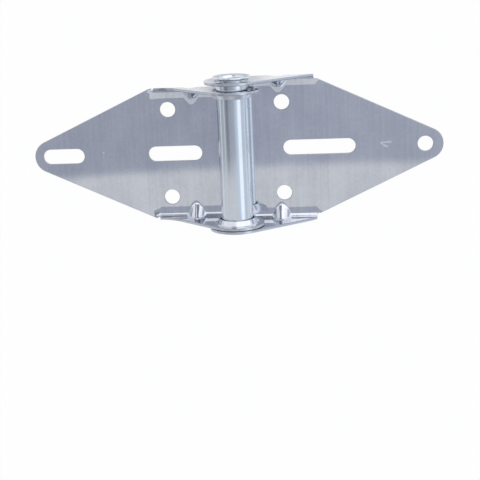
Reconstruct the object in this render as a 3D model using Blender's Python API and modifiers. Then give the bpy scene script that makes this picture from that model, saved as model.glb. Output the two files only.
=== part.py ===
"""Sectional garage door centre hinge: two pressed steel leaves that fold about a loose tubular pin.

The hinge lies on its mounting faces: +Z up, the pin's axis along Y. The origin is on the mounting
plane, below the middle of the pin. The wide leaf points to +X and the narrow leaf to -X.
"""

from dataclasses import dataclass
from math import acos, asin, atan2, cos, hypot, pi, radians, sin, sqrt

import bmesh
import bpy
from mathutils import Matrix

MM = 0.001

# Sheet and bends
SHEET = 1.3 * MM
BEND_INNER_RADIUS = 1.5 * MM
FLANGE_FOOT_HEIGHT = 3.3 * MM
RELIEF_WIDTH = 1.6 * MM

# Pin and ears
AXIS_HEIGHT = 15.8 * MM
EAR_FLOOR_GAP = 2.0 * MM
EAR_RADIUS = AXIS_HEIGHT - SHEET - EAR_FLOOR_GAP
TUBE_RADIUS = 7.2 * MM
TUBE_WALL = 1.3 * MM
FLARE_SWELL = 1.37 * MM
HEAD_LENGTH = 1.5 * MM
HEAD_LIP = 0.9 * MM
CLINCH_LENGTH = 0.8 * MM
CLINCH_LIP = 0.6 * MM
RUNNING_CLEARANCE = 0.3 * MM
END_CLEARANCE = 0.3 * MM
COLLAR_HEIGHT = 2.3 * MM
COLLAR_WALL = 1.0 * MM
COLLAR_FILLET = 1.2 * MM

# Leaves
WIDE_WIDTH = 68.6 * MM
WIDE_TIP_DISTANCE = 95.55 * MM
NARROW_TIP_DISTANCE = 94.95 * MM
LEAF_END_PLAY = 3.2 * MM
JOINT_GAP = 1.5 * MM
WIDE_FLANGE_END = 36.6 * MM
NARROW_FLANGE_END = 37.2 * MM
HOLE_DIAMETER = 7.1 * MM
SLOT_WIDTH = 7.0 * MM

# Gussets pressed into the bends
GUSSET_REACH = 6.2 * MM
GUSSET_NOSE_RADIUS = 2.9 * MM
GUSSET_FLANK_ANGLE = radians(15)
GUSSET_DISTANCE = 20.1 * MM

EPSILON = 1.0 * MM
BEYOND = 20.0 * MM
FLAT_ANGLE = radians(0.1)
ZINC_COLOUR = (0.58, 0.60, 0.64, 1.0)


@dataclass(frozen=True)
class Leaf:
    """One pressed leaf, measured from the pin's axis towards its own tip."""

    name: str
    side: int
    half_width: float
    centre_y: float
    flange_end: float
    shoulder_step: float
    relief_depth: float
    tip_distance: float
    tip_radius: float
    rise_start: float
    screw_distance: float
    screw_inset: float
    slots: tuple
    holes: tuple

    @property
    def shoulder(self):
        """Where the slanting side starts, on the tip's side of the bend relief."""
        return self.flange_end + RELIEF_WIDTH, self.half_width - self.shoulder_step

    def x(self, distance):
        return self.side * distance

    def place(self, points):
        return [(self.x(x), y + self.centre_y) for x, y in points]


WIDE = Leaf(
    name="wide_leaf",
    side=1,
    half_width=WIDE_WIDTH / 2,
    centre_y=0.0,
    flange_end=WIDE_FLANGE_END,
    shoulder_step=2.6 * MM,
    relief_depth=2.7 * MM,
    tip_distance=WIDE_TIP_DISTANCE,
    tip_radius=7.3 * MM,
    rise_start=WIDE_FLANGE_END,
    screw_distance=21.6 * MM,
    screw_inset=12.95 * MM,
    slots=((21.8 * MM, 55.2 * MM),),
    holes=(WIDE_TIP_DISTANCE - 8.3 * MM,),
)
NARROW = Leaf(
    name="narrow_leaf",
    side=-1,
    half_width=WIDE_WIDTH / 2 - SHEET - LEAF_END_PLAY / 2,
    centre_y=END_CLEARANCE - LEAF_END_PLAY / 2,
    flange_end=NARROW_FLANGE_END,
    shoulder_step=0.4 * MM,
    relief_depth=1.2 * MM,
    tip_distance=NARROW_TIP_DISTANCE,
    tip_radius=7.6 * MM,
    rise_start=NARROW_FLANGE_END - 6.2 * MM,
    screw_distance=31.3 * MM,
    screw_inset=10.7 * MM,
    slots=(
        (16.15 * MM, 41.2 * MM),
        (NARROW_TIP_DISTANCE - 23.35 * MM, NARROW_TIP_DISTANCE - 4.0 * MM),
    ),
    holes=(),
)


# Scene and objects


def clear_scene():
    for obj in list(bpy.data.objects):
        bpy.data.objects.remove(obj)


def new_collection(name):
    collection = bpy.data.collections.new(name)
    bpy.context.scene.collection.children.link(collection)
    return collection


def zinc_plated(name):
    material = bpy.data.materials.new(name)
    material.use_nodes = True
    shader = material.node_tree.nodes["Principled BSDF"]
    shader.inputs["Base Color"].default_value = ZINC_COLOUR
    shader.inputs["Metallic"].default_value = 1.0
    shader.inputs["Roughness"].default_value = 0.3
    material.diffuse_color = ZINC_COLOUR
    return material


def mesh_object(name, mesh, collection):
    mesh.shade_smooth()
    mesh.set_sharp_from_angle(angle=radians(30))
    obj = bpy.data.objects.new(name, mesh)
    collection.objects.link(obj)
    return obj


def extruded(name, outline, depth, collection, location=(0, 0, 0), rotation=(0, 0, 0)):
    """A closed outline in the local XY plane, extruded by depth to each side of it, as a mesh."""
    curve = bpy.data.curves.new(name, "CURVE")
    curve.dimensions = "2D"
    curve.fill_mode = "BOTH"
    curve.extrude = depth
    spline = curve.splines.new("POLY")
    spline.points.add(len(outline) - 1)
    for point, (x, y) in zip(spline.points, outline):
        point.co = (x, y, 0, 1)
    spline.use_cyclic_u = True
    curve_object = bpy.data.objects.new(name + "_curve", curve)
    bpy.context.scene.collection.objects.link(curve_object)
    evaluated = curve_object.evaluated_get(bpy.context.evaluated_depsgraph_get())
    mesh = bpy.data.meshes.new_from_object(evaluated)
    bpy.data.objects.remove(curve_object)
    bpy.data.curves.remove(curve)
    solid = bmesh.new()
    solid.from_mesh(mesh)
    bmesh.ops.remove_doubles(solid, verts=solid.verts, dist=1e-6)
    bmesh.ops.recalc_face_normals(solid, faces=solid.faces)
    bmesh.ops.dissolve_limit(solid, angle_limit=FLAT_ANGLE, verts=solid.verts, edges=solid.edges)
    solid.to_mesh(mesh)
    solid.free()
    obj = mesh_object(name, mesh, collection)
    obj.location = location
    obj.rotation_euler = rotation
    return obj


def cylinder(name, radius, length, collection, location, rotation):
    mesh = bpy.data.meshes.new(name)
    solid = bmesh.new()
    bmesh.ops.create_cone(
        solid, cap_ends=True, segments=48, radius1=radius, radius2=radius, depth=length
    )
    solid.to_mesh(mesh)
    solid.free()
    obj = mesh_object(name, mesh, collection)
    obj.location = location
    obj.rotation_euler = rotation
    return obj


def turned(name, profile, collection, location, steps=48):
    """A closed profile of (radius, height) points, turned about the object's own Y axis."""
    mesh = bpy.data.meshes.new(name)
    ring = bmesh.new()
    verts = [ring.verts.new((radius, height, 0)) for radius, height in profile]
    for start, end in zip(verts, verts[1:] + verts[:1]):
        ring.edges.new((start, end))
    ring.to_mesh(mesh)
    ring.free()
    obj = bpy.data.objects.new(name, mesh)
    collection.objects.link(obj)
    obj.location = location
    screw = obj.modifiers.new("turn", "SCREW")
    screw.axis = "Y"
    screw.steps = screw.render_steps = steps
    screw.use_merge_vertices = True
    screw.merge_threshold = 1e-6
    screw.use_normal_calculate = True
    screw.use_smooth_shade = True
    return obj


def combine(obj, operation, other, name):
    modifier = obj.modifiers.new(name, "BOOLEAN")
    modifier.operation = operation
    modifier.solver = "EXACT"
    modifier.object = other
    other.hide_render = True
    other.display_type = "WIRE"


# Outlines


def arc(centre, radius, start, end, segments):
    """Points from angle start to angle end, in radians, both ends included."""
    return [
        (
            centre[0] + radius * cos(start + (end - start) * i / segments),
            centre[1] + radius * sin(start + (end - start) * i / segments),
        )
        for i in range(segments + 1)
    ]


def tangent_angle(point, centre, radius, turn):
    """Angle round the circle at which a line from the point touches it.

    With turn 1 it lies anticlockwise of the point's own angle, and with turn -1 clockwise.
    """
    away = atan2(point[1] - centre[1], point[0] - centre[0])
    return away + turn * acos(radius / hypot(point[0] - centre[0], point[1] - centre[1]))


def round_hole(centre):
    return arc(centre, HOLE_DIAMETER / 2, 0, 2 * pi, 32)[:-1]


def slot_outline(near, far):
    radius = SLOT_WIDTH / 2
    return arc((far - radius, 0), radius, -pi / 2, pi / 2, 12) + arc(
        (near + radius, 0), radius, pi / 2, 3 * pi / 2, 12
    )


def plan_outline(leaf):
    """The leaf seen from above, from behind its ears to its tip, with a relief at each bend's end."""
    relief = RELIEF_WIDTH / 2
    shoulder = leaf.shoulder
    tip = (leaf.tip_distance - leaf.tip_radius, 0)
    touch = tangent_angle(shoulder, tip, leaf.tip_radius, -1)
    half = [(-EAR_RADIUS - BEYOND, leaf.half_width), (leaf.flange_end, leaf.half_width)]
    notch = (leaf.flange_end + relief, leaf.half_width - leaf.relief_depth + relief)
    shoulder_rise = min(max((shoulder[1] - notch[1]) / relief, -1), 0)
    half += arc(notch, relief, pi, 2 * pi + asin(shoulder_rise), 8)
    half.append(shoulder)
    half += arc(tip, leaf.tip_radius, touch, 0, 16)[:-1]
    return half + [(leaf.tip_distance, 0)] + [(x, -y) for x, y in reversed(half)]


def side_outline(leaf):
    """The leaf seen along the pin: the plate, the flange's rising free edge and the round ear."""
    ear = (0.0, AXIS_HEIGHT)
    foot = (leaf.rise_start, FLANGE_FOOT_HEIGHT)
    touch = tangent_angle(foot, ear, EAR_RADIUS, 1)
    bottom = 3 * pi / 2 + asin(JOINT_GAP / 2 / EAR_RADIUS)
    points = [
        (JOINT_GAP / 2, -EPSILON),
        (leaf.tip_distance + BEYOND, -EPSILON),
        (leaf.tip_distance + BEYOND, FLANGE_FOOT_HEIGHT),
    ]
    if leaf.rise_start < leaf.flange_end:
        points += blend(foot, touch + pi / 2, leaf.flange_end - leaf.rise_start)
    else:
        points.append(foot)
    return points + arc(ear, EAR_RADIUS, touch, bottom, 44)


def blend(corner, rise_angle, reach):
    """A hollow curve from the level foot to the rising edge, reaching the same way along both."""
    end = (corner[0] + reach * cos(rise_angle), corner[1] + reach * sin(rise_angle))
    start = (corner[0] + reach, corner[1])
    steps = [i / 8 for i in range(9)]
    return [
        (
            (1 - t) ** 2 * start[0] + 2 * t * (1 - t) * corner[0] + t**2 * end[0],
            (1 - t) ** 2 * start[1] + 2 * t * (1 - t) * corner[1] + t**2 * end[1],
        )
        for t in steps
    ]


def trough_outline(leaf, inset):
    """Section of the space inside the channel's outer faces, moved in by inset, open upwards."""
    half = leaf.half_width - inset
    radius = BEND_INNER_RADIUS + SHEET - inset
    top = AXIS_HEIGHT + EAR_RADIUS + BEYOND
    right = [(half, top)] + [
        (y, z) for y, z in reversed(arc((half - radius, inset + radius), radius, -pi / 2, 0, 8))
    ]
    return right + [(-y, z) for y, z in reversed(right)]


def bend_rounding_outline(leaf):
    """What the outer radius of a bend takes from the square corner at the mounting face."""
    radius = BEND_INNER_RADIUS + SHEET
    half = leaf.half_width
    return arc((half - radius, radius), radius, 0, -pi / 2, 8) + [
        (half - radius, -EPSILON),
        (half + EPSILON, -EPSILON),
        (half + EPSILON, radius),
    ]


def gusset_outline(nose_radius):
    """Section across a gusset's ridge: a round nose at the top, and flanks that spread below it."""
    turn = pi / 2 - GUSSET_FLANK_ANGLE
    nose = arc((0, -nose_radius), nose_radius, pi / 2 - turn, pi / 2 + turn, 10)
    run = BEYOND / 2
    spread = run * sin(GUSSET_FLANK_ANGLE) / cos(GUSSET_FLANK_ANGLE)
    right, left = nose[0], nose[-1]
    return nose + [(left[0] - spread, left[1] - run), (right[0] + spread, right[1] - run)]


# Leaf


ALONG_X = (pi / 2, 0, pi / 2)
ALONG_Y = (pi / 2, 0, 0)


def cut_channel(body, leaf, cutters):
    """Hollows the blank above the sheet and rounds the outside of its two bends."""
    name = leaf.name
    middle = leaf.x(leaf.tip_distance / 2)
    length = leaf.tip_distance + 2 * BEYOND
    trough = extruded(
        name + "_trough",
        trough_outline(leaf, SHEET),
        length,
        cutters,
        (middle, leaf.centre_y, 0),
        ALONG_X,
    )
    combine(body, "DIFFERENCE", trough, "trough")
    clear_start = leaf.flange_end + RELIEF_WIDTH / 2
    above_tip = [
        (clear_start, SHEET),
        (leaf.tip_distance + BEYOND, SHEET),
        (leaf.tip_distance + BEYOND, AXIS_HEIGHT + EAR_RADIUS + BEYOND),
        (clear_start, AXIS_HEIGHT + EAR_RADIUS + BEYOND),
    ]
    tip_clearance = extruded(
        name + "_above_tip",
        [(leaf.x(x), z) for x, z in above_tip],
        leaf.half_width + BEYOND,
        cutters,
        (0, leaf.centre_y, 0),
        ALONG_Y,
    )
    combine(body, "DIFFERENCE", tip_clearance, "above tip")
    bend_start = -EAR_RADIUS - 2 * BEYOND
    for mirror, which in ((1, "a"), (-1, "b")):
        rounding = extruded(
            f"{name}_bend_{which}",
            [(mirror * y, z) for y, z in bend_rounding_outline(leaf)],
            (clear_start - bend_start) / 2,
            cutters,
            (leaf.x((clear_start + bend_start) / 2), leaf.centre_y, 0),
            ALONG_X,
        )
        combine(body, "DIFFERENCE", rounding, "bend " + which)


def cut_side_profile(body, leaf, cutters):
    profile = extruded(
        leaf.name + "_side",
        [(leaf.x(x), z) for x, z in side_outline(leaf)],
        leaf.half_width + BEYOND,
        cutters,
        (0, leaf.centre_y, 0),
        ALONG_Y,
    )
    combine(body, "INTERSECT", profile, "side profile")


def press_gussets(body, leaf, cutters):
    """Raises a ridge across the inside of each bend and dents the outside behind it."""
    ridge_half_length = BEYOND
    for mirror, which in ((-1, "a"), (1, "b")):
        name = f"{leaf.name}_gusset_{which}"
        inner_face = leaf.half_width - SHEET
        centre = (
            leaf.x(GUSSET_DISTANCE),
            leaf.centre_y + mirror * (inner_face - GUSSET_REACH / 2),
            SHEET + GUSSET_REACH / 2,
        )
        turn = (pi / 4 if mirror < 0 else 3 * pi / 4, 0, 0)
        ridge = extruded(
            name, gusset_outline(GUSSET_NOSE_RADIUS), ridge_half_length, cutters, centre, turn
        )
        inside = extruded(
            name + "_inside",
            trough_outline(leaf, SHEET / 2),
            leaf.tip_distance,
            cutters,
            (0, leaf.centre_y, 0),
            ALONG_X,
        )
        combine(ridge, "INTERSECT", inside, "inside the sheet")
        combine(body, "UNION", ridge, "gusset " + which)
        depth = SHEET / sqrt(2)
        dent_centre = (centre[0], centre[1] + mirror * depth, centre[2] - depth)
        dent = extruded(
            name + "_dent",
            gusset_outline(GUSSET_NOSE_RADIUS - SHEET),
            ridge_half_length,
            cutters,
            dent_centre,
            turn,
        )
        combine(body, "DIFFERENCE", dent, "dent " + which)


def collar_profile():
    """The burred rim of a narrow ear's hole: a fillet at the ear and a rounded edge."""
    bore = TUBE_RADIUS + RUNNING_CLEARANCE
    outer = bore + COLLAR_WALL
    lip = COLLAR_WALL / 2
    sunk = -SHEET / 2
    points = [(bore - EPSILON, sunk), (outer + COLLAR_FILLET, sunk)]
    points += arc((outer + COLLAR_FILLET, COLLAR_FILLET), COLLAR_FILLET, -pi / 2, -pi, 6)
    points += arc((outer - lip, COLLAR_HEIGHT - lip), lip, 0, pi / 2, 5)
    return points + [(bore - EPSILON, COLLAR_HEIGHT)]


def raise_collars(body, leaf, cutters):
    for mirror, which in ((-1, "a"), (1, "b")):
        collar = turned(
            f"{leaf.name}_collar_{which}",
            [(radius, -mirror * height) for radius, height in collar_profile()],
            cutters,
            (0, leaf.centre_y + mirror * (leaf.half_width - SHEET), AXIS_HEIGHT),
        )
        combine(body, "UNION", collar, "collar " + which)


def bore_ears(body, leaf, cutters):
    bore = cylinder(
        leaf.name + "_ear_bore",
        TUBE_RADIUS + RUNNING_CLEARANCE,
        2 * leaf.half_width + BEYOND,
        cutters,
        (0, leaf.centre_y, AXIS_HEIGHT),
        ALONG_Y,
    )
    combine(body, "DIFFERENCE", bore, "ear bore")


def punch_plate(body, leaf, height, cutters):
    """Cuts the round screw holes and the slots through a block of the given height."""
    half_pitch = leaf.half_width - leaf.screw_inset
    spots = [(leaf.screw_distance, -half_pitch), (leaf.screw_distance, half_pitch)]
    spots += [(distance, 0.0) for distance in leaf.holes]
    outlines = [round_hole(spot) for spot in spots]
    outlines += [slot_outline(near, far) for near, far in leaf.slots]
    for number, outline in enumerate(outlines):
        punch = extruded(
            f"{leaf.name}_punch_{number}",
            leaf.place(outline),
            height / 2 + EPSILON,
            cutters,
            (0, 0, height / 2),
        )
        combine(body, "DIFFERENCE", punch, f"punch {number}")


def make_leaf(leaf, origin, parts, cutters):
    """One leaf, with its object's origin at the given height over the frame's origin.

    It is cut from a block of its plan's shape, whose holes are punched first.
    """
    height = AXIS_HEIGHT + EAR_RADIUS + EPSILON
    body = extruded(leaf.name, leaf.place(plan_outline(leaf)), height / 2, parts)
    body.data.transform(Matrix.Translation((0, 0, height / 2 - origin)))
    body.location = (0, 0, origin)
    punch_plate(body, leaf, height, cutters)
    cut_channel(body, leaf, cutters)
    cut_side_profile(body, leaf, cutters)
    press_gussets(body, leaf, cutters)
    if leaf is NARROW:
        raise_collars(body, leaf, cutters)
    bore_ears(body, leaf, cutters)
    body.data.materials.append(zinc_plated(leaf.name + "_zinc"))
    return body


# Pin


def flared_end(length, lip_thickness):
    """Profile of a flared end, from the bore over its rim to the outside.

    Its points are (radius, height), with heights measured from the face of the ear beside it.
    """
    bore = TUBE_RADIUS - TUBE_WALL
    lip = lip_thickness / 2
    lip_centre = TUBE_RADIUS + FLARE_SWELL - lip
    rim = END_CLEARANCE + length
    mouth = lip_centre - bore
    turns = [pi / 2 * i / 6 for i in range(7)]
    inner = [(bore + mouth * (1 - cos(a)), rim - mouth * (1 - sin(a))) for a in turns]
    edge = arc((lip_centre, rim - lip), lip, pi / 2, -pi / 2, 6)[1:]
    swell = lip_centre - TUBE_RADIUS
    rise = length - lip_thickness
    outer = [
        (TUBE_RADIUS + swell * (1 - sin(a)), END_CLEARANCE + rise * cos(a))
        for a in [pi / 2 * i / 4 for i in range(1, 5)]
    ]
    return inner + edge + outer


def make_tube(parts):
    """The hollow pin, with a bell-shaped head at one wide ear and clinched flat at the other."""
    ear_face = WIDE.half_width
    profile = [(r, ear_face + height) for r, height in flared_end(HEAD_LENGTH, HEAD_LIP)]
    clinch = flared_end(CLINCH_LENGTH, CLINCH_LIP)
    profile += [(r, -ear_face - height) for r, height in reversed(clinch)]
    tube = turned("hinge_tube", profile, parts, (0, 0, AXIS_HEIGHT))
    tube.data.materials.append(zinc_plated("hinge_tube_zinc"))
    return tube


def main():
    clear_scene()
    parts = new_collection("garage_door_hinge")
    cutters = new_collection("cutters")
    cutters.hide_render = True
    make_leaf(WIDE, 0.0, parts, cutters)
    make_leaf(NARROW, AXIS_HEIGHT, parts, cutters)
    make_tube(parts)


main()
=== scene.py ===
"""Dressed model of a zinc-plated hinge for a sectional garage door.

Two pressed leaves fold about a hollow flared pin. Each leaf is worked out as a flat punched blank
that formulas fold, ridge and burr, and the pin as a turned profile. Lengths in the classes are
millimetres, and the meshes are written in metres.
"""

import logging
from dataclasses import dataclass
from enum import Enum
from math import acos, asin, atan2, cos, hypot, pi, radians, sin, sqrt

import bpy
import numpy as np
from mathutils import Matrix, Vector
from mathutils.geometry import delaunay_2d_cdt
from numpy.typing import NDArray


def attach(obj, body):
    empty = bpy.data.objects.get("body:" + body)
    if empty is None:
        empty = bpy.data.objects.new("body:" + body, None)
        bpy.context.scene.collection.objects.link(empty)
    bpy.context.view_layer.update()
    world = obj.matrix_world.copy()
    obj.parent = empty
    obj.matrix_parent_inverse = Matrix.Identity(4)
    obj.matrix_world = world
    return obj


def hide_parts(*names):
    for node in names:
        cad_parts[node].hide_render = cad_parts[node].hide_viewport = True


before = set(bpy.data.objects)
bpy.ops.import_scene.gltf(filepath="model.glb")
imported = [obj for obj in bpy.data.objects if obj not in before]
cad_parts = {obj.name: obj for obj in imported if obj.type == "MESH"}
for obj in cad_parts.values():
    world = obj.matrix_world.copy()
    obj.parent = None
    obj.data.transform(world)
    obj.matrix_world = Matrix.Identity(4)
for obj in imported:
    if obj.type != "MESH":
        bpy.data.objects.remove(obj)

Array = NDArray[np.float64]
Point = tuple[float, float]
Span = tuple[float, float, float]
Colour = tuple[float, float, float]
Socket = bpy.types.NodeSocket

MM = 0.001
OUTLINE_STEP = 0.45
NOTCH_STEP = 0.2
SAME_POINT = 1e-4
NEAR_ZERO = 1e-6
POINTS_AT_ONCE = 1500
EDGE_TURNS = (radians(30), radians(60), radians(90))
WHITE = (1.0, 1.0, 1.0, 1.0)
LOG = logging.getLogger("garage_door_hinge")


class Body(Enum):
    """The bodies of the frame that a piece can ride on."""

    WIDE_LEAF = "wide_leaf"
    NARROW_LEAF = "narrow_leaf"
    TUBE = "hinge_tube"


@dataclass(frozen=True)
class SheetRules:
    """Sizes that both leaves and the pin share, as the press tools set them."""

    thickness: float = 1.3
    axis_height: float = 15.8
    ear_radius: float = 12.5
    ear_bore: float = 7.5
    joint_gap: float = 1.5
    flange_foot: float = 3.3
    relief_width: float = 1.6
    hole_diameter: float = 7.1
    slot_width: float = 7.0
    edge_inset: float = 0.20
    roll_over: float = 0.28
    burr_side: float = 0.10


RULES = SheetRules()


@dataclass(frozen=True)
class SoftBend:
    """A right-angled bend that the sheet enters and leaves gradually, as over a worn die.

    With s the distance along the sheet from the bend's centre, the sheet has turned through
    a(s) = 90 degrees / (1 + exp(-s / softness)). Its place across is the sum of cos a, and its
    height the sum of sin a.
    """

    softness: float = 0.96
    reach: float = 9.0
    samples: int = 3600

    def sums(self) -> tuple[Array, Array, Array]:
        """Adds up the bend in short steps, each at the angle of its middle.

        Returns:
            Distances along the sheet, with the place across and the height at each.
        """
        along = np.linspace(-self.reach, self.reach, self.samples + 1)
        middle = (along[1:] + along[:-1]) / 2
        turn = pi / 2 / (1 + np.exp(-middle / self.softness))
        step = 2 * self.reach / self.samples
        across = np.concatenate(((0.0,), np.cumsum(np.cos(turn)) * step)) - self.reach
        height = np.concatenate(((0.0,), np.cumsum(np.sin(turn)) * step))
        return along, across, height

    def shortcut(self) -> float:
        """How far across from the bend's centre the upright side stands."""
        return float(self.sums()[1][-1])

    def fold(self, along: Array) -> tuple[Array, Array]:
        """Place across and height of points of the sheet, both from the bend's centre.

        Args:
            along: Distance of each point along the sheet from the bend's centre.

        Returns:
            Places across and heights.
        """
        samples, across, height = self.sums()
        flat = np.minimum(along + self.reach, 0)
        upright = np.maximum(along - self.reach, 0)
        place = np.interp(along, samples, across) + flat
        return place, np.interp(along, samples, height) + upright


BEND = SoftBend()


def arc(
    centre: Point, radius: float, start: float, end: float, step: float = OUTLINE_STEP
) -> Array:
    """Samples a circle: each point is centre + radius (cos a, sin a), with a from start to end.

    Args:
        centre: The circle's centre.
        radius: Its radius.
        start: First angle, in radians.
        end: Last angle, in radians.
        step: Greatest distance between neighbouring points.

    Returns:
        The points, one row each.
    """
    count = max(3, int(np.ceil(abs(end - start) * radius / step)) + 1)
    angles = np.linspace(start, end, count)
    return np.column_stack(
        (centre[0] + radius * np.cos(angles), centre[1] + radius * np.sin(angles))
    )


def tangent_angle(point: Point, centre: Point, radius: float, turn: int) -> float:
    """Angle round a circle where a line from an outside point touches it.

    The angle is the point's own angle, plus or minus acos(radius / distance).

    Args:
        point: The point outside the circle.
        centre: The circle's centre.
        radius: Its radius.
        turn: 1 for the touching point anticlockwise of the outside point, and -1 for the other.

    Returns:
        The angle in radians.
    """
    along, across = point[0] - centre[0], point[1] - centre[1]
    return atan2(across, along) + turn * acos(radius / hypot(along, across))


def subdivided(corners: Array, step: float = OUTLINE_STEP) -> Array:
    """Closed outline with each side cut into equal lengths no longer than step.

    Args:
        corners: The outline's corners in order.
        step: Greatest length of a piece.

    Returns:
        The outline with the new points put in.
    """
    following = np.roll(corners, -1, axis=0)
    kept = np.linalg.norm(following - corners, axis=1) > SAME_POINT
    corners = corners[kept]
    following = np.roll(corners, -1, axis=0)
    lengths = np.linalg.norm(following - corners, axis=1)
    counts = np.maximum(1, np.ceil(lengths / step)).astype(int)
    index = np.repeat(np.arange(len(corners)), counts)
    first = np.repeat(np.cumsum(counts) - counts, counts)
    fraction = (np.arange(len(index)) - first) / counts[index]
    return corners[index] + (following - corners)[index] * fraction[:, None]


def unit(rows: Array) -> Array:
    """Each row divided by its length."""
    return rows / np.linalg.norm(rows, axis=1, keepdims=True)


def outward_mitres(loop: Array) -> Array:
    """Vectors that move each side of a loop outwards by one when added to its points.

    With a and b the unit normals of the two sides that meet at a point, the vector is
    (a + b) / (1 + a . b). Normals point to the right of the direction of travel, so the
    material lies on the left: an outer edge runs anticlockwise, and a hole's edge clockwise.

    Args:
        loop: The closed loop's points in order.

    Returns:
        One vector for each point.
    """
    ahead = unit(np.roll(loop, -1, axis=0) - loop)
    after = np.column_stack((ahead[:, 1], -ahead[:, 0]))
    before = np.roll(after, 1, axis=0)
    return (after + before) / (1 + np.sum(after * before, axis=1, keepdims=True))


def clearance_inside(points: Array, loops: list[Array]) -> Array:
    """Distance of each point to the nearest loop, below zero outside the material.

    The distance to a side is that to its nearest point, start + clip(t, 0, 1) (end - start).
    A point is in the material when a ray from it crosses the loops an odd number of times.

    Args:
        points: The points to look at.
        loops: The outer edge and the holes' edges.

    Returns:
        The signed distances.
    """
    start = np.concatenate(loops)
    end = np.concatenate([np.roll(loop, -1, axis=0) for loop in loops])
    side = end - start
    square = np.sum(side * side, axis=1)
    found = []
    for part in np.array_split(points, max(1, len(points) // POINTS_AT_ONCE)):
        away = part[:, None, :] - start[None, :, :]
        t = np.clip(np.sum(away * side, axis=2) / square, 0, 1)
        distance = np.sqrt(np.min(np.sum((away - t[..., None] * side) ** 2, axis=2), axis=1))
        spans = (start[:, 1] > part[:, 1:]) != (end[:, 1] > part[:, 1:])
        rise = np.where(side[:, 1] == 0, 1.0, side[:, 1])
        crossing = start[:, 0] + away[:, :, 1] * side[:, 0] / rise > part[:, :1]
        inside = np.sum(spans & crossing, axis=1) % 2 == 1
        found.append(np.where(inside, distance, -distance))
    return np.concatenate(found)


def grid(along: Array, across: Array) -> Array:
    """Pairs every value of one array with every value of the other.

    Args:
        along: Values of u.
        across: Values of v.

    Returns:
        The pairs as rows (u, v).
    """
    u, v = np.meshgrid(along, across, indexing="ij")
    return np.column_stack((u.ravel(), v.ravel()))


def smooth_greater(a: Array, b: Array, blend: float) -> Array:
    """The greater of a and b, with a soft fillet where they are within blend of each other.

    With h = clip((1 + (a - b) / blend) / 2, 0, 1) it is h a + (1 - h) b + blend h (1 - h).

    Args:
        a: First values.
        b: Second values.
        blend: Width of the soft zone.

    Returns:
        The blended values.
    """
    h = np.clip(0.5 + 0.5 * (a - b) / blend, 0, 1)
    return h * a + (1 - h) * b + blend * h * (1 - h)


def in_scene(name: str, data: bpy.types.ID) -> bpy.types.Object:
    """Makes an object and puts it into the scene.

    Args:
        name: Its name.
        data: Its mesh or camera.

    Returns:
        The object.
    """
    made = bpy.data.objects.new(name, data)
    bpy.context.scene.collection.objects.link(made)
    return made


def write_piece(
    name: str,
    points: Array,
    normals: Array,
    coordinates: Array,
    cut: Array,
    faces: list[list[int]],
    material: bpy.types.Material,
) -> bpy.types.Object:
    """Puts a computed surface into a mesh object at the origin.

    Args:
        name: The piece's name.
        points: Its points in millimetres.
        normals: The surface's normal at each point.
        coordinates: The place of each point on the flat blank, in millimetres.
        cut: For each point, 1 on a sheared edge and 0 elsewhere, and its depth through the sheet.
        faces: Each face's point numbers, anticlockwise seen from outside.
        material: Its finish.

    Returns:
        The new object.
    """
    mesh = bpy.data.meshes.new(name)
    mesh.from_pydata(points * MM, [], faces)
    corner_point = np.empty(len(mesh.loops), np.int32)
    mesh.loops.foreach_get("vertex_index", corner_point)
    for layer_name, values in (("blank", coordinates * MM), ("cut", cut)):
        layer = mesh.uv_layers.new(name=layer_name)
        layer.data.foreach_set("uv", values[corner_point].astype(np.float32).ravel())
    mesh.shade_smooth()
    mesh.normals_split_custom_set_from_vertices(normals.astype(np.float32))
    mesh.materials.append(material)
    return in_scene(name, mesh)


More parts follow.
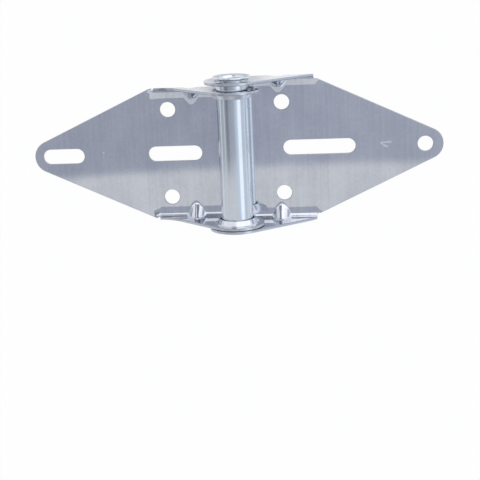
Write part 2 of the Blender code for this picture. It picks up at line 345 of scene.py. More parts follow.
class NodeBoard:
    """A material's or world's node tree, with short calls to fill it."""

    mix_inputs = (6, 7)
    mix_output = 2

    def __init__(self, tree: bpy.types.NodeTree) -> None:
        """Takes the tree and clears it."""
        self.tree = tree
        tree.nodes.clear()

    def add(self, kind: str, **settings: object) -> bpy.types.Node:
        """Adds a node and sets its properties and input values.

        Args:
            kind: The node's type name.
            settings: Properties by name, or input values by the input's name with _ for a space.

        Returns:
            The new node.
        """
        node = self.tree.nodes.new(kind)
        for name, value in settings.items():
            if hasattr(node, name):
                setattr(node, name, value)
            else:
                node.inputs[name.replace("_", " ")].default_value = value
        return node

    def join(self, source: Socket, target: Socket) -> None:
        """Links an output to an input."""
        self.tree.links.new(source, target)

    def math(self, operation: str, first: Socket | float, second: Socket | float = 0.0) -> Socket:
        """Adds a Math node.

        Args:
            operation: The node's operation.
            first: A socket or a number.
            second: A socket or a number.

        Returns:
            The result's socket.
        """
        node = self.add("ShaderNodeMath", operation=operation)
        for index, value in enumerate((first, second)):
            if isinstance(value, Socket):
                self.join(value, node.inputs[index])
            else:
                node.inputs[index].default_value = value
        return node.outputs[0]

    def blend(self, factor: Socket, low: Socket | Colour, high: Socket | Colour) -> Socket:
        """Adds a colour Mix node from low to high.

        Args:
            factor: The socket that chooses between them.
            low: Colour at factor 0.
            high: Colour at factor 1.

        Returns:
            The colour's socket.
        """
        node = self.add("ShaderNodeMix", data_type="RGBA")
        self.join(factor, node.inputs[0])
        for index, colour in zip(self.mix_inputs, (low, high)):
            if isinstance(colour, Socket):
                self.join(colour, node.inputs[index])
            else:
                node.inputs[index].default_value = (*colour, 1.0)
        return node.outputs[self.mix_output]

    def show(self, kind: str, factor: Socket, first: Socket, second: Socket) -> None:
        """Ends the tree in an output that shows a mix of two shaders.

        Args:
            kind: The output node's type name.
            factor: The socket that chooses between them.
            first: The shader at factor 0.
            second: The shader at factor 1.
        """
        mix = self.add("ShaderNodeMixShader")
        for source, target in zip((factor, first, second), mix.inputs):
            self.join(source, target)
        self.join(mix.outputs[0], self.add(kind).inputs[0])

    def smooth_step(self, value: Socket, start: float, end: float) -> Socket:
        """Adds an eased rise from 0 at start to 1 at end.

        Args:
            value: The socket that is measured.
            start: Where the rise begins.
            end: Where it ends.

        Returns:
            The result's socket.
        """
        node = self.add("ShaderNodeMapRange", interpolation_type="SMOOTHSTEP")
        self.join(value, node.inputs["Value"])
        for name, bound in (("From Min", start), ("From Max", end)):
            node.inputs[name].default_value = bound
        return node.outputs[0]


@dataclass(frozen=True)
class Noise:
    """A noise: repeats per metre along U and V, octaves of detail, and share in the tone."""

    repeats: Point
    detail: float
    share: float = 0.0
    roughness: float = 0.55


PATCHES = Noise((60.0, 45.0), 3.0, 1.3)
SPANGLE = Noise((620.0, 620.0), 1.0, 0.5)
STREAKS = Noise((700.0, 16.0), 2.0, 0.8)
GRAIN = Noise((2600.0, 1900.0), 2.0)


@dataclass(frozen=True)
class ZincFinish:
    """Bright zinc on steel: clouded patches, drawing streaks along V, and a fine grain.

    A sheared edge is duller: its rolled-over rim is coloured darker as painted shade, then comes a
    smooth burnished band, then a rough fractured one. The thin clear film over the zinc is the
    shader's coat. Bands are depths through the sheet as shares of its thickness, from the face that
    the punch met.
    """

    name: str
    light: Colour
    dark: Colour
    edge: Colour
    # rim: painted shade, a darker colour on the rolled-over rim of each sheared edge
    rim: Colour
    roughness: float
    roughness_spread: float
    streak_height: float
    grain_height: float
    metallic: float = 0.88
    film: float = 0.5
    film_roughness: float = 0.04
    edge_fade: Point = (0.3, 0.9)
    tone_range: Point = (0.95, 1.65)
    rolled_band: Point = (0.12, 0.30)
    fracture_band: Point = (0.40, 0.50)
    cut_roughness: float = 0.10
    fracture_roughness: float = 0.18
    fracture_height: float = 0.020

    def noise(self, board: NodeBoard, kind: Noise) -> Socket:
        """Adds a noise over the blank's own coordinates.

        Args:
            board: The material's nodes.
            kind: The noise.

        Returns:
            The noise value's socket.
        """
        place = board.add("ShaderNodeUVMap", uv_map="blank")
        mapping = board.add("ShaderNodeMapping", Scale=(*kind.repeats, 1.0))
        board.join(place.outputs[0], mapping.inputs[0])
        settings = {"Scale": 1.0, "Detail": kind.detail, "Roughness": kind.roughness}
        noise = board.add("ShaderNodeTexNoise", **settings)
        board.join(mapping.outputs[0], noise.inputs["Vector"])
        return noise.outputs[0]

    def material(self) -> bpy.types.Material:
        """Builds the finish's nodes.

        Returns:
            The material.
        """
        material = bpy.data.materials.new(self.name)
        material.use_nodes = True
        board = NodeBoard(material.node_tree)
        out = board.add("ShaderNodeOutputMaterial")
        film = {"Coat Weight": self.film, "Coat Roughness": self.film_roughness}
        shader = board.add("ShaderNodeBsdfPrincipled", Metallic=self.metallic, **film)
        board.join(shader.outputs[0], out.inputs[0])
        cut = board.add("ShaderNodeSeparateXYZ")
        board.join(board.add("ShaderNodeUVMap", uv_map="cut").outputs[0], cut.inputs[0])
        on_edge = board.smooth_step(cut.outputs[0], *self.edge_fade)
        fractured = board.smooth_step(cut.outputs[1], *self.fracture_band)
        fractured = board.math("MULTIPLY", on_edge, fractured)
        kinds = (PATCHES, SPANGLE, STREAKS, GRAIN)
        patches, spangle, streaks, grain = (self.noise(board, kind) for kind in kinds)
        tone = board.math("MULTIPLY", patches, PATCHES.share)
        for noise, kind in ((spangle, SPANGLE), (streaks, STREAKS)):
            tone = board.math("ADD", tone, board.math("MULTIPLY", noise, kind.share))
        tone = board.smooth_step(tone, *self.tone_range)
        colour = board.blend(tone, self.dark, self.light)
        # Painted shade: the rolled-over band of a sheared edge takes the darker rim colour.
        below = board.smooth_step(cut.outputs[1], *self.rolled_band)
        rolled = board.math("SUBTRACT", 1.0, below)
        edge = board.blend(rolled, self.edge, self.rim)
        board.join(board.blend(on_edge, colour, edge), shader.inputs["Base Color"])
        spread = board.math("MULTIPLY", board.math("SUBTRACT", patches, 0.5), self.roughness_spread)
        roughness = board.math("ADD", spread, self.roughness)
        for place, extra in ((on_edge, self.cut_roughness), (fractured, self.fracture_roughness)):
            roughness = board.math("ADD", roughness, board.math("MULTIPLY", place, extra))
        board.join(roughness, shader.inputs["Roughness"])
        height = board.math("MULTIPLY", streaks, self.streak_height)
        torn = board.math("MULTIPLY", fractured, self.fracture_height)
        bumps = board.math("ADD", torn, self.grain_height)
        height = board.math("ADD", height, board.math("MULTIPLY", grain, bumps))
        bump = board.add("ShaderNodeBump", Strength=1.0, Distance=MM)
        board.join(height, bump.inputs["Height"])
        board.join(bump.outputs[0], shader.inputs["Normal"])
        return material


SHEET_ZINC = ZincFinish(
    name="sheet_zinc",
    light=(0.745, 0.765, 0.820),
    dark=(0.635, 0.660, 0.720),
    edge=(0.60, 0.62, 0.67),
    # The dark rim colour is painted shade along the rolled-over edges.
    rim=(0.36, 0.37, 0.42),
    roughness=0.018,
    roughness_spread=0.015,
    streak_height=0.0012,
    grain_height=0.0010,
)
TUBE_ZINC = ZincFinish(
    name="tube_zinc",
    light=(0.75, 0.79, 0.84),
    dark=(0.69, 0.73, 0.78),
    edge=(0.69, 0.73, 0.78),
    # Painted shade for a rolled rim; the pin has no sheared edges, so it doesn't show.
    rim=(0.60, 0.64, 0.69),
    roughness=0.075,
    roughness_spread=0.05,
    streak_height=0.004,
    grain_height=0.0015,
)


@dataclass(frozen=True)
class Collar:
    """The coned rim that is drawn inwards round a narrow ear's bore."""

    height: float = 2.3
    wall: float = 0.9
    fillet: float = 0.9
    cone_angle: float = radians(27)
    rim_radius: float = 0.38

    @property
    def turn_radius(self) -> float:
        """The radius of the turn into the cone, at the middle of the sheet."""
        return self.fillet + RULES.thickness / 2

    @property
    def turn_angle(self) -> float:
        """The angle that the sheet turns through, from the ear's face to the cone."""
        return pi / 2 - self.cone_angle

    def cone_length(self) -> float:
        """Length of the straight side of the cone."""
        turned = self.turn_radius * (1 - cos(self.turn_angle))
        return (self.height + RULES.thickness / 2 - turned) / cos(self.cone_angle)

    def start(self) -> float:
        """Finds where the ear begins to turn into the collar.

        Returns:
            Its distance from the pin's axis.
        """
        rim = RULES.ear_bore + self.wall / 2 / cos(self.cone_angle)
        turned = self.turn_radius * sin(self.turn_angle)
        return rim + self.cone_length() * sin(self.cone_angle) + turned

    def blank_bore(self) -> float:
        """Radius of the hole in the flat blank from which the collar is drawn."""
        return self.start() - self.turn_radius * self.turn_angle - self.cone_length()

    def draw(self, x: Array, out: Array, height: Array) -> tuple[Array, Array, Array, Array]:
        """Draws the sheet round the bore into the collar.

        With s the distance of a point inside the collar's start and R the turn's radius, its
        angle is a = s / R. It moves to start - R sin a from the axis and R (1 - cos a)
        inwards, and what is past the turn runs straight down the cone.

        Args:
            x: Distance of each point along the leaf.
            out: Its distance from the leaf's centre line.
            height: Its height over the mounting plane.

        Returns:
            The moved x, out and height, and the sheet's thickness at each point.
        """
        over = height - RULES.axis_height
        radius = np.hypot(x, over)
        run = self.start() - radius
        turn = np.clip(run / self.turn_radius, 0, self.turn_angle)
        cone = np.clip(run - self.turn_radius * self.turn_angle, 0, None)
        moved = self.turn_radius * np.sin(turn) + cone * sin(self.cone_angle)
        scale = np.where(run > 0, (self.start() - moved) / np.maximum(radius, NEAR_ZERO), 1.0)
        inwards = self.turn_radius * (1 - np.cos(turn)) + cone * cos(self.cone_angle)
        thinning = turn / self.turn_angle
        thickness = RULES.thickness + (self.wall - RULES.thickness) * thinning
        return x * scale, out - inwards, RULES.axis_height + over * scale, thickness


@dataclass(frozen=True)
class Gusset:
    """A ridge pressed across a bend to stiffen it."""

    distance: float = 20.1
    reach: float = 6.2
    crest_radius: float = 2.1
    flank_slope: float = 2.6
    fillet: float = 1.1
    shallow_reach: float = 4.9
    shallow_fillet: float = 2.0

    def press(
        self, x: Array, out: Array, height: Array, inner_face: float, shallow: Array
    ) -> tuple[Array, Array]:
        """Presses the ridge into the sheet's middle surface, along the bend's diagonal.

        The level of a point is its distance from the bend's inner corner along the diagonal.
        The ridge's level falls from its crest as a hyperbola, m (sqrt(x x + q q) - q), with m
        the flanks' slope and q = m times the crest's radius. The sheet takes the greater of
        the two levels, with a fillet. The press doesn't reach as deep at the leaf's +Y edge.

        Args:
            x: Distance of each point along the leaf.
            out: Its distance from the leaf's centre line.
            height: Its height over the mounting plane.
            inner_face: Distance of the flange's inner face from the centre line.
            shallow: True where the press doesn't reach as deep.

        Returns:
            The moved out and height.
        """
        reach = np.where(shallow, self.shallow_reach, self.reach)
        fillet = np.where(shallow, self.shallow_fillet, self.fillet)
        level = (inner_face - out + height - RULES.thickness) / sqrt(2)
        knee = self.flank_slope * self.crest_radius
        drop = self.flank_slope * (np.hypot(x - self.distance, knee) - knee)
        ridge = reach / sqrt(2) - RULES.thickness / 2 - drop
        push = (smooth_greater(ridge, level, fillet) - level) / sqrt(2)
        return out - push, height + push


@dataclass(frozen=True)
class StampedStroke:
    """A plain stroke stamped into the plate's upper face."""

    start: Point
    end: Point
    depth: float
    half_width: float
    margin: float = 1.2
    step: float = 0.22

    def sink(self, x: Array, y: Array) -> Array:
        """Works out the groove, depth exp(-(distance / half width) squared).

        Args:
            x: Distance of each point along the leaf.
            y: Its place across.

        Returns:
            The groove's depth at each point.
        """
        a, b = np.array(self.start), np.array(self.end)
        away = np.column_stack((x, y)) - a
        t = np.clip(away @ (b - a) / np.dot(b - a, b - a), 0, 1)
        distance = np.linalg.norm(away - t[:, None] * (b - a), axis=1)
        return self.depth * np.exp(-((distance / self.half_width) ** 2))

    def patch(self) -> Array:
        """Lays a fine grid over the stroke and a margin round it.

        Returns:
            The grid's points.
        """
        low = np.minimum(self.start, self.end) - self.margin
        high = np.maximum(self.start, self.end) + self.margin
        along, across = (np.arange(a, b, self.step) for a, b in zip(low, high))
        return grid(along, across)


@dataclass(frozen=True)
class Shape:
    """A surface sampled at some points of the flat blank."""

    middle: Array
    normal: Array
    along: Array
    across: Array
    thickness: Array


@dataclass(frozen=True)
class Spacing:
    """Steps between the points inside a blank, and the reach of its finer zones."""

    plate: float = 3.5
    plate_start: float = 2.0
    plate_reach: float = 90.0
    bend: float = 0.4
    bend_reach: float = 5.4
    bend_start: float = 1.2
    along_bend: float = 1.3
    ridge_along: tuple[Span, ...] = ((0.0, 1.4, 0.2), (1.4, 4.4, 0.16), (4.4, 6.6, 0.35))
    ridge_across: Span = (-8.2, 7.4, 0.26)
    collar: float = 0.26
    collar_margin: float = 0.6
    collar_rays: int = 96
    foot_samples: int = 14
    zone_margin: float = 0.2
    edge_margin: float = 0.16


SPACING = Spacing()


@dataclass(frozen=True)
class PressedLeaf:
    """A leaf of the hinge, measured from the pin's axis towards its own tip."""

    node: Body
    slot: str
    side: int
    half_width: float
    centre_y: float
    flange_end: float
    shoulder_step: float
    relief_depth: float
    tip_distance: float
    tip_radius: float
    rise_start: float
    screw_distance: float
    screw_inset: float
    slots: tuple[Point, ...]
    tip_holes: tuple[float, ...]
    strokes: tuple[StampedStroke, ...]
    gusset: Gusset
    collar: Collar | None
    bend_fade: float = 3.0

    @property
    def bend_line(self) -> float:
        """Place of the bends' centres on the blank, across the leaf."""
        return self.half_width - RULES.thickness / 2 - BEND.shortcut()

    def rise(self, height: float | Array) -> float | Array:
        """Place on the blank, across the leaf, of a height on the flange."""
        return self.bend_line + height - RULES.thickness / 2 - BEND.shortcut()

    def flange_edge(self) -> Array:
        """Draws the flange's free edge from the joint round the ear to its foot.

        Where the foot curves, a quadratic curve runs from the rise to the foot's level.

        Returns:
            The edge's points as (x, height).
        """
        ear = (0.0, RULES.axis_height)
        foot = (self.rise_start, RULES.flange_foot)
        touch = tangent_angle(foot, ear, RULES.ear_radius, 1)
        bottom = 3 * pi / 2 + asin(RULES.joint_gap / 2 / RULES.ear_radius)
        edge = [arc(ear, RULES.ear_radius, bottom, touch)]
        reach = self.flange_end - self.rise_start
        if reach > 0:
            rise = touch + pi / 2
            start = np.array((foot[0] + reach * cos(rise), foot[1] + reach * sin(rise)))
            end = np.array((foot[0] + reach, foot[1]))
            t = np.linspace(0, 1, SPACING.foot_samples)[:, None]
            edge.append((1 - t) ** 2 * start + 2 * t * (1 - t) * np.array(foot) + t**2 * end)
        edge.append(np.array([(self.flange_end, RULES.flange_foot)]))
        return np.concatenate(edge)

    def blank_edge(self) -> Array:
        """Draws the flat blank's outer edge anticlockwise, its lower half a mirror image.

        Returns:
            The edge's points as (distance, place across).
        """
        relief = RULES.relief_width / 2
        free_edge = self.flange_edge()
        flange = np.column_stack((free_edge[:, 0], self.rise(free_edge[:, 1])))
        notch = (self.flange_end + relief, self.half_width - self.relief_depth + relief)
        shoulder = (self.flange_end + RULES.relief_width, self.half_width - self.shoulder_step)
        end = 2 * pi + asin(min(max((shoulder[1] - notch[1]) / relief, -1), 0))
        reliefs = arc(notch, relief, pi, end, NOTCH_STEP)
        tip = (self.tip_distance - self.tip_radius, 0.0)
        touch = tangent_angle(shoulder, tip, self.tip_radius, -1)
        round_tip = arc(tip, self.tip_radius, touch, 0)
        start = [(RULES.joint_gap / 2, 0.0)]
        half = np.concatenate((start, flange, reliefs, [shoulder], round_tip))
        return subdivided(np.concatenate((half[:-1] * (1, -1), half[:0:-1])))

    def holes(self) -> list[Array]:
        """Draws the punched holes, slots and ear bores on the blank, clockwise.

        Returns:
            The edge of each, with the ear bores last.
        """
        found = []
        pitch = self.half_width - self.screw_inset
        centres = [(self.screw_distance, -pitch), (self.screw_distance, pitch)]
        centres += [(distance, 0.0) for distance in self.tip_holes]
        for centre in centres:
            found.append(arc(centre, RULES.hole_diameter / 2, 2 * pi, 0)[:-1])
        radius = RULES.slot_width / 2
        for near, far in self.slots:
            ends = [
                arc((far - radius, 0.0), radius, pi / 2, -pi / 2),
                arc((near + radius, 0.0), radius, -pi / 2, -3 * pi / 2),
            ]
            found.append(subdivided(np.concatenate(ends)))
        bore = self.collar.blank_bore() if self.collar else RULES.ear_bore
        for which in (-1, 1):
            centre = (0.0, which * float(self.rise(RULES.axis_height)))
            found.append(arc(centre, bore, 2 * pi, 0)[:-1])
        return found

    def inner_points(self) -> Array:
        """Lays points inside the blank, close together only where the sheet is curved.

        Returns:
            The points. Those outside the blank's edges are left in.
        """
        space = SPACING
        reach = space.bend_reach
        bend_u = np.arange(space.bend_start, self.flange_end, space.along_bend)
        bend_v = self.bend_line + np.arange(-reach, reach + space.bend / 2, space.bend)
        side = np.concatenate([np.arange(*zone) for zone in space.ridge_along])
        ridge_u = self.gusset.distance + np.concatenate((-side[:0:-1], side))
        low, high, step = space.ridge_across
        ridge_v = np.arange(self.bend_line + low, self.bend_line + high, step)
        plate_u = np.arange(space.plate_start, self.tip_distance, space.plate)
        plate_v = np.arange(-space.plate_reach, space.plate_reach, space.plate)
        sets = [grid(plate_u, plate_v)]
        rings = np.empty((0, 2))
        if self.collar:
            first = self.collar.blank_bore() + space.collar_margin
            last = self.collar.start() + space.collar_margin
            rays = np.arange(space.collar_rays) * 2 * pi / space.collar_rays
            polar = grid(np.arange(first, last, space.collar), rays)
            rings = polar[:, :1] * np.column_stack((np.cos(polar[:, 1]), np.sin(polar[:, 1])))
        ear = float(self.rise(RULES.axis_height))
        for which in (-1, 1):
            sets.append(grid(bend_u, which * bend_v))
            sets.append(grid(ridge_u, which * ridge_v))
            sets.append(rings + (0.0, which * ear))
        sets += [stroke.patch() for stroke in self.strokes]
        kept = [sets[0]]
        for later in sets[1:]:
            if len(later):
                low = later.min(axis=0) - space.zone_margin
                high = later.max(axis=0) + space.zone_margin
                kept = [s[~np.all((s > low) & (s < high), axis=1)] for s in kept]
                kept.append(later)
        return np.concatenate(kept)

    def middle_surface(self, points: Array) -> tuple[Array, Array]:
        """Folds and presses points of the flat blank into the leaf's middle surface.

        The bend's sums give a point's place across and its height. Past the flange's end the
        bend fades out along the plate, as u u (3 - 2 u) with u falling from 1 to 0. Gussets,
        collars and stamped strokes then move the point.

        Args:
            points: Rows of distance from the axis and place across the blank.

        Returns:
            The points in space, and the sheet's thickness at each.
        """
        x, across = points[:, 0], np.abs(points[:, 1])
        folded, lifted = BEND.fold(across - self.bend_line)
        near = np.clip(1 - (x - self.flange_end) / self.bend_fade, 0, 1)
        near = near * near * (3 - 2 * near)
        out = across + (self.bend_line + folded - across) * near
        height = RULES.thickness / 2 + lifted * near
        inner_face = self.half_width - RULES.thickness
        out, height = self.gusset.press(x, out, height, inner_face, points[:, 1] > 0)
        thickness = np.full(len(points), RULES.thickness)
        if self.collar:
            x, out, height, thickness = self.collar.draw(x, out, height)
        out = np.where(points[:, 1] < 0, -out, out)
        for stroke in self.strokes:
            height = height - stroke.sink(x, out)
        return np.column_stack((x, out, height)), thickness

    def shape(self, points: Array) -> Shape:
        """Samples the leaf's middle surface with its normal, by central differences.

        The normal is the cross product of the surface's slopes along the two directions.

        Args:
            points: Rows of distance from the axis and place across the blank.

        Returns:
            The sampled surface.
        """
        reach = 0.01
        middle, thickness = self.middle_surface(points)
        slopes = []
        for step in ((reach, 0.0), (0.0, reach)):
            ahead, _ = self.middle_surface(points + step)
            behind, _ = self.middle_surface(points - step)
            slopes.append((ahead - behind) / (2 * reach))
        normal = unit(np.cross(slopes[0], slopes[1]))
        return Shape(middle, normal, slopes[0], slopes[1], thickness)

    def build(self, material: bpy.types.Material) -> bpy.types.Object:
        """Builds the leaf's two faces and the rounded edges between them.

        The faces lie half a thickness to each side of the middle surface. Round each edge
        runs a strip of points b r sin a + n (h - d (1 - cos a)), with b the outward direction,
        n the normal, h half the thickness, r the edge's inset and d its drop, which is deep
        where the punch rolled the sheet over and shallow where it burst out.

        Args:
            material: The leaf's finish.

        Returns:
            The finished piece.
        """
        loops = [self.blank_edge(), *self.holes()]
        radii = [RULES.edge_inset] * len(loops)
        drops = [(RULES.roll_over, RULES.burr_side)] * len(loops)
        if self.collar:
            radii[-2:] = [self.collar.rim_radius] * 2
            drops[-2:] = [(self.collar.rim_radius, self.collar.rim_radius)] * 2
        mitres = [outward_mitres(loop) for loop in loops]
        inset = [loop - m * r for loop, m, r in zip(loops, mitres, radii)]
        extra = self.inner_points()
        extra = extra[clearance_inside(extra, inset) > SPACING.edge_margin]
        points = np.concatenate((*inset, extra))
        sizes = np.array([len(loop) for loop in inset])
        firsts = np.cumsum(sizes) - sizes
        rings = [first + np.arange(size) for first, size in zip(firsts, sizes)]
        edges = np.concatenate([np.column_stack((r, np.roll(r, -1))) for r in rings])
        found = delaunay_2d_cdt(points.tolist(), edges.tolist(), [], 0, 1e-7, False)
        flat = np.array([tuple(p) for p in found[0]])
        if len(flat) != len(points) or not np.allclose(flat, points, atol=1e-5):
            raise ValueError(f"{self.node.value}: the blank's edges cross each other")
        triangles = np.array(found[2], dtype=np.int64)
        triangles = triangles[clearance_inside(points[triangles].mean(axis=1), inset) > 0]
        shape = self.shape(points)
        count = len(points)
        half = shape.thickness[:, None] / 2
        sheets = [shape.middle + shape.normal * half, shape.middle - shape.normal * half]
        normals = [shape.normal, -shape.normal]
        coordinates = [points, points]
        cuts = [np.zeros((2 * count, 2))]
        faces = [*triangles.tolist(), *(triangles[:, ::-1] + count).tolist()]
        total = 2 * count
        for ring, mitre, radius, drop in zip(rings, mitres, radii, drops):
            normal, depth = shape.normal[ring], half[ring]
            outward = shape.along[ring] * mitre[:, :1] + shape.across[ring] * mitre[:, 1:]
            outward -= normal * np.sum(outward * normal, axis=1, keepdims=True)
            aside = unit(outward)
            outward = aside * np.linalg.norm(mitre, axis=1, keepdims=True)
            rows = [ring]
            for which, order, fall in ((1, EDGE_TURNS, drop[0]), (-1, EDGE_TURNS[::-1], drop[1])):
                for turn in order:
                    level = which * (depth - fall * (1 - cos(turn)))
                    moved = outward * radius * sin(turn)
                    sheets.append(shape.middle[ring] + moved + normal * level)
                    lean = aside * fall * sin(turn) + which * normal * radius * cos(turn)
                    normals.append(unit(lean))
                    coordinates.append(points[ring] + mitre * radius * sin(turn))
                    cuts.append(np.column_stack((np.ones(len(ring)), 0.5 - level / depth / 2)))
                    rows.append(total + np.arange(len(ring)))
                    total += len(ring)
            rows.append(ring + count)
            for upper, lower in zip(rows, rows[1:]):
                quads = (upper, lower, np.roll(lower, -1), np.roll(upper, -1))
                faces += np.column_stack(quads).tolist()
        if self.side < 0:
            faces = [face[::-1] for face in faces]
        mirror = np.array((self.side, 1.0, 1.0))
        place = np.concatenate(sheets) * mirror + (0.0, self.centre_y, 0.0)
        direction = np.concatenate(normals) * mirror
        blank, cut = np.concatenate(coordinates), np.concatenate(cuts)
        name = f"{self.node.value}_sheet"
        piece = write_piece(name, place, direction, blank, cut, faces, material)
        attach(piece, self.node.value)
        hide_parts(self.node.value)
        return piece


GUSSET = Gusset()

WIDE_LEAF = PressedLeaf(
    node=Body.WIDE_LEAF,
    slot="wide_leaf_zinc",
    side=1,
    half_width=34.3,
    centre_y=0.0,
    flange_end=36.6,
    shoulder_step=2.6,
    relief_depth=2.7,
    tip_distance=95.55,
    tip_radius=7.3,
    rise_start=36.6,
    screw_distance=21.6,
    screw_inset=12.95,
    slots=((21.8, 55.2),),
    tip_holes=(87.25,),
    strokes=(
        StampedStroke(start=(67.0, 0.6), end=(69.3, -1.2), depth=0.10, half_width=0.32),
        StampedStroke(start=(67.6, 0.7), end=(71.2, 0.9), depth=0.08, half_width=0.30),
    ),
    gusset=GUSSET,
    collar=None,
)
NARROW_LEAF = PressedLeaf(
    node=Body.NARROW_LEAF,
    slot="narrow_leaf_zinc",
    side=-1,
    half_width=31.4,
    centre_y=-1.3,
    flange_end=37.2,
    shoulder_step=0.4,
    relief_depth=1.2,
    tip_distance=94.95,
    tip_radius=7.6,
    rise_start=31.0,
    screw_distance=31.3,
    screw_inset=10.7,
    slots=((16.15, 41.2), (71.6, 90.95)),
    tip_holes=(),
    strokes=(StampedStroke(start=(62.5, 1.2), end=(62.5, -2.6), depth=0.03, half_width=0.25),),
    gusset=GUSSET,
    collar=Collar(),
)


@dataclass(frozen=True)
class TubeEnd:
    """A flared end of the pin: its length past the clearance, and its lip's thickness."""

    length: float
    lip: float


@dataclass(frozen=True)
class FlaredTube:
    """The hollow pin, turned about the hinge's axis."""

    slot: str = "hinge_tube_zinc"
    radius: float = 7.2
    wall: float = 1.3
    swell: float = 1.37
    ear_face: float = 34.3
    clearance: float = 0.3
    head: TubeEnd = TubeEnd(length=1.5, lip=0.9)
    clinch: TubeEnd = TubeEnd(length=0.8, lip=0.6)
    segments: int = 160
    quarter_samples: int = 18
    lip_step: float = 0.12
    length_step: float = 4.0

    def end_profile(self, end: TubeEnd) -> Array:
        """Profile of one end, from the bore over the rim to the outside, as (radius, height).

        The bore opens as a quarter circle, m (1 - cos a), the rim is a half circle, and the
        outside swells as a quarter ellipse. Heights are from the face of the ear beside it.

        Args:
            end: The end's sizes.

        Returns:
            The profile's points in order.
        """
        bore, lip = self.radius - self.wall, end.lip / 2
        lip_centre = self.radius + self.swell - lip
        rim = self.clearance + end.length
        mouth = lip_centre - bore
        a = np.linspace(0, pi / 2, self.quarter_samples)
        inner = np.column_stack((bore + mouth * (1 - np.cos(a)), rim - mouth * (1 - np.sin(a))))
        edge = arc((lip_centre, rim - lip), lip, pi / 2, -pi / 2, self.lip_step)[1:]
        swell = lip_centre - self.radius
        outer = np.column_stack(
            (
                self.radius + swell * (1 - np.sin(a)),
                self.clearance + (end.length - end.lip) * np.cos(a),
            )
        )[1:]
        return np.concatenate((inner, edge, outer))

    def profile(self) -> Array:
        """Joins both ends into the closed profile.

        Returns:
            The profile's points as (radius, place along the axis).
        """
        head = self.end_profile(self.head) + (0.0, self.ear_face)
        clinch = self.end_profile(self.clinch)[::-1] + (0.0, self.ear_face)
        return subdivided(np.concatenate((head, clinch * (1, -1))), self.length_step)

    def turned(self, rows: Array) -> Array:
        """Carries rows (r, y) round the axis: x = r sin t and z = r cos t.

        Args:
            rows: Radius and place along the axis of each.

        Returns:
            The rows (x, y, z) at each turn t in order.
        """
        turn = self.turns()
        x, z = (np.outer(part, rows[:, 0]) for part in (np.sin(turn), np.cos(turn)))
        return np.stack((x, np.broadcast_to(rows[:, 1], x.shape), z), axis=2).reshape(-1, 3)

    def turns(self) -> Array:
        """The angles at which the profile stands round the axis."""
        return np.arange(self.segments) * 2 * pi / self.segments

    def build(self, material: bpy.types.Material) -> bpy.types.Object:
        """Carries the profile round the pin's axis.

        Args:
            material: The pin's finish.

        Returns:
            The finished piece.
        """
        profile = self.profile()
        count, steps = len(profile), self.segments
        slope = unit(np.roll(profile, -1, axis=0) - np.roll(profile, 1, axis=0))
        points = self.turned(profile) + (0.0, 0.0, RULES.axis_height)
        normals = self.turned(np.column_stack((-slope[:, 1], slope[:, 0])))
        around = np.repeat(self.turns() * self.radius, count)
        coordinates = np.column_stack((around, np.tile(profile[:, 1], steps)))
        index = np.arange(steps * count).reshape(steps, count)
        ahead, beside = np.roll(index, -1, axis=1), np.roll(index, -1, axis=0)
        corner = np.roll(ahead, -1, axis=0)
        faces = np.stack((index, ahead, corner, beside), axis=2).reshape(-1, 4)
        cut = np.zeros((len(points), 2))
        piece = write_piece(
            "hinge_tube_turned", points, normals, coordinates, cut, faces.tolist(), material
        )
        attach(piece, Body.TUBE.value)
        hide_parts(Body.TUBE.value)
        return piece


@dataclass(frozen=True)
class StudioCamera:
    """The camera at the photograph's viewing angle, in metres and degrees."""

    lens: float = 101.705
    sensor: float = 36.0
    turns: Span = (14.62, -4.17, 2.47)
    offset: Span = (0.001502, -0.04266, 0.631929)
    nearest: float = 0.01

    def build(self) -> None:
        """Places the camera, whose rotation is the reverse of turning the hinge in front of it."""
        about_x, about_y, about_z = (radians(turn) for turn in self.turns)
        turn = (
            Matrix.Rotation(about_z, 3, "Z")
            @ Matrix.Rotation(about_x, 3, "X")
            @ Matrix.Rotation(about_y, 3, "Y")
        ).transposed()
        data = bpy.data.cameras.new("camera")
        data.lens = self.lens
        data.sensor_width = self.sensor
        data.clip_start = self.nearest
        camera = in_scene("camera", data)
        camera.matrix_world = Matrix.Translation(turn @ Vector(self.offset)) @ turn.to_4x4()
        bpy.context.scene.camera = camera


class Measure(Enum):
    """A number that is worked out from a direction of the surround."""

    TURN = "degrees about the pin, from straight up towards +X"
    LEAN = "part along +Y, from -1 to 1"
    SIDE = "part along +X, from -1 to 1"
    HEIGHT = "part along +Z, from -1 to 1"


@dataclass(frozen=True)
class Window:
    """The range of a measure that a panel covers, with soft ends."""

    measure: Measure
    low: float
    high: float
    soft: float


# Past every part of a direction, which lies between -1 and 1.
ALL = 1.2


@dataclass(frozen=True)
class SoftPanel:
    """A lit or shaded part of the surround: its light, and what it covers."""

    light: Colour
    windows: tuple[Window, ...]


WALLS: Colour = (0.69, 0.70, 0.72)
BACK = 0.42
BAND = Window(Measure.LEAN, -0.200, BACK, 0.004)
LONG = Window(Measure.LEAN, -ALL, BACK, 0.02)
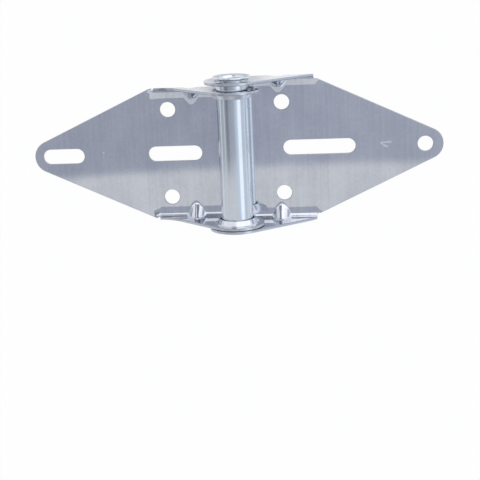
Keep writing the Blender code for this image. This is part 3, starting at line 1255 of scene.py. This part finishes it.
# Each panel covers the ones before it.
PANELS = {
    "right_wall": SoftPanel((0.58, 0.66, 0.78), (Window(Measure.TURN, 68, 150, 5),)),
    "ceiling": SoftPanel((0.41, 0.435, 0.51), (BAND, Window(Measure.TURN, -70, 70, 6))),
    "left_ceiling": SoftPanel((0.365, 0.39, 0.46), (BAND, Window(Measure.TURN, -70, -6, 5))),
    "left_wall": SoftPanel((0.42, 0.47, 0.50), (BAND, Window(Measure.TURN, -150, -66, 4))),
    "left_strip": SoftPanel((0.72, 0.73, 0.75), (LONG, Window(Measure.TURN, -66, -59, 3))),
    "left_flag": SoftPanel((0.20, 0.215, 0.26), (BAND, Window(Measure.TURN, -50, -28, 7))),
    "right_glow": SoftPanel((0.62, 0.71, 0.83), (LONG, Window(Measure.TURN, 17, 68, 13))),
    "right_lamp": SoftPanel((1.12, 1.20, 1.27), (LONG, Window(Measure.TURN, 37, 64, 6))),
    "front_foot": SoftPanel(
        (0.42, 0.43, 0.48),
        (Window(Measure.LEAN, -ALL, -0.80, 0.04), Window(Measure.HEIGHT, -ALL, 0.45, 0.06)),
    ),
    "back_glow": SoftPanel((1.04, 1.05, 1.08), (Window(Measure.LEAN, BACK, ALL, 0.02),)),
    "back_lamp": SoftPanel(
        (1.46, 1.46, 1.48),
        (Window(Measure.LEAN, 0.44, ALL, 0.03), Window(Measure.SIDE, -0.05, ALL, 0.12)),
    ),
    "back_gap": SoftPanel(
        (0.20, 0.21, 0.25),
        (
            Window(Measure.LEAN, 0.75, ALL, 0.02),
            Window(Measure.SIDE, -0.34, -0.06, 0.04),
            Window(Measure.HEIGHT, 0.12, 0.50, 0.05),
        ),
    ),
}


@dataclass(frozen=True)
class Studio:
    """Plain soft studio: a white floor, and a pale surround of a few soft panels."""

    floor_half_size: float = 1.6
    floor_height: float = -0.0004
    floor_colour: Colour = (0.93, 0.93, 0.94)
    floor_glow: float = 0.97
    floor_front_glow: float = 0.14
    # Where reflections see the floor glow white: painted reflection light behind the leaves, away
    # from the pin.
    floor_mirror_glow_from: Point = (0.015, 0.045)
    floor_mirror_glow_beside: Point = (0.007, 0.019)

    def floor(self) -> None:
        """Makes the floor, white to the camera, with the hinge's shadow.

        Reflections see it glow white behind the leaves, as painted reflection light, and mostly
        plainly lit elsewhere.
        """
        size = self.floor_half_size
        corners = np.array([(-size, -size), (size, -size), (size, size), (-size, size)])
        mesh = bpy.data.meshes.new("floor")
        height = np.full((4, 1), self.floor_height)
        mesh.from_pydata(np.hstack((corners, height)), [], [[0, 1, 2, 3]])
        material = bpy.data.materials.new("floor_white")
        material.use_nodes = True
        board = NodeBoard(material.node_tree)
        path = board.add("ShaderNodeLightPath")
        parts = board.add("ShaderNodeSeparateXYZ")
        board.join(board.add("ShaderNodeTexCoord").outputs["Object"], parts.inputs[0])
        # Painted reflection light: glossy rays see the floor glow white behind the leaves, away
        # from the pin, and only a faint glow in front and close beside it.
        behind = board.smooth_step(parts.outputs["Y"], *self.floor_mirror_glow_from)
        aside = board.math("ABSOLUTE", parts.outputs["X"])
        aside = board.smooth_step(aside, *self.floor_mirror_glow_beside)
        behind = board.math("MULTIPLY", behind, aside)
        mirrored = board.math("MULTIPLY", behind, 1 - self.floor_front_glow)
        mirrored = board.math("ADD", mirrored, self.floor_front_glow)
        mirrored = board.math("MULTIPLY", mirrored, path.outputs["Is Glossy Ray"])
        seen = board.math("MAXIMUM", path.outputs["Is Camera Ray"], mirrored)
        seen = board.math("MAXIMUM", seen, path.outputs["Is Transmission Ray"])
        paint = board.add("ShaderNodeBsdfDiffuse", Color=(*self.floor_colour, 1.0))
        glow = board.add("ShaderNodeEmission", Color=WHITE, Strength=1.0)
        seen = board.math("MULTIPLY", seen, self.floor_glow)
        board.show("ShaderNodeOutputMaterial", seen, paint.outputs[0], glow.outputs[0])
        mesh.materials.append(material)
        floor = in_scene("floor", mesh)

    def surround(self) -> None:
        """Lights the scene with walls and panels. The camera sees plain white."""
        world = bpy.data.worlds.new("surround")
        bpy.context.scene.world = world
        world.use_nodes = True
        board = NodeBoard(world.node_tree)
        parts = board.add("ShaderNodeSeparateXYZ")
        board.join(board.add("ShaderNodeTexCoord").outputs["Generated"], parts.inputs[0])
        x, y, z = parts.outputs
        turn = board.math("MULTIPLY", board.math("ARCTAN2", x, z), 180 / pi)
        measures = dict(zip(Measure, (turn, y, x, z)))
        colour: Socket | Colour = WALLS
        for panel in PANELS.values():
            cover: Socket | float = 1.0
            for window in panel.windows:
                value, soft = measures[window.measure], window.soft
                enter = board.smooth_step(value, window.low - soft, window.low + soft)
                leave = board.smooth_step(value, window.high - soft, window.high + soft)
                cover = board.math("MULTIPLY", board.math("SUBTRACT", enter, leave), cover)
            colour = board.blend(cover, colour, panel.light)
        light = board.add("ShaderNodeBackground", Strength=1.0)
        board.join(colour, light.inputs[0])
        white = board.add("ShaderNodeBackground", Color=WHITE, Strength=1.0)
        seen = board.add("ShaderNodeLightPath").outputs["Is Camera Ray"]
        board.show("ShaderNodeOutputWorld", seen, light.outputs[0], white.outputs[0])


def main() -> None:
    """Builds the pieces in order, then the studio and the camera."""
    logging.basicConfig(level=logging.INFO, format="%(name)s: %(message)s")
    bpy.context.scene.view_settings.view_transform = "Standard"
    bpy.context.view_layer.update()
    sheet, tube = SHEET_ZINC.material(), TUBE_ZINC.material()
    pieces = [leaf.build(sheet) for leaf in (WIDE_LEAF, NARROW_LEAF)]
    pieces.append(FlaredTube().build(tube))
    for piece in pieces:
        mesh = piece.data
        LOG.info("%s: %d points, %d faces", piece.name, len(mesh.vertices), len(mesh.polygons))
    studio = Studio()
    studio.floor()
    studio.surround()
    StudioCamera().build()


if __name__ == "__main__":
    main()
